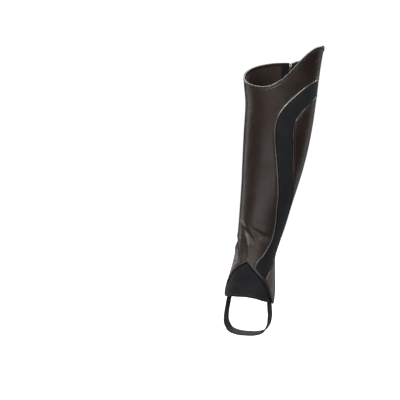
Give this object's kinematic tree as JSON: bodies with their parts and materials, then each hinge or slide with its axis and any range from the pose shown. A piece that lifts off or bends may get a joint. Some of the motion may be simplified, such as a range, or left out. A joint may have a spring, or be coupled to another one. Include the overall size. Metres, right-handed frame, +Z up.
{
  "type": "half chap",
  "caption": "Tall leather half chap for one lower leg, with a black stretch panel, an instep gusset, a back zip and an elastic strap under the foot.",
  "frame": {"origin": "middle of the leg at the widest part of the calf, where the wearer's calf holds the chap up", "axes": "+Z up, -Y the front of the leg, +X its outer side (the chap fits a left leg); the leg leans outward and forward going up, as worn"},
  "size_m": [0.1821, 0.1462, 0.5244],
  "materials": {
    "leather": "fine smooth leather with a satin sheen",
    "stretch_fabric": "matte black elastic fabric",
    "elastic": "matte black ribbed elastic webbing",
    "binding": "smooth leather piping and edge binding",
    "tape": "woven zip tape",
    "zip_metal": "dark nickel"
  },
  "bodies": {
    "chap": {"front_panel": "leather", "inner_panel": "leather", "outer_rear_panel": "leather", "stretch_panel": "stretch_fabric", "instep_gusset": "stretch_fabric", "foot_strap": "elastic", "top_binding": "binding", "foot_binding": "binding", "front_piping": "binding", "rear_piping": "binding", "zip_tape_outer": "tape", "zip_tape_inner": "tape", "zip_chain": "zip_metal", "zip_slider": "zip_metal"},
    "pull_tab": {"zip_pull": "zip_metal"}
  },
  "joints": [
    {"name": "pull_tab_hinge", "type": "hinge", "parent": "chap", "child": "pull_tab", "pos_m": [0.00834, 0.06028, 0.10001], "axis": [0.9956, 0.0093, -0.0937], "range_deg": [0, 160]}
  ]
}
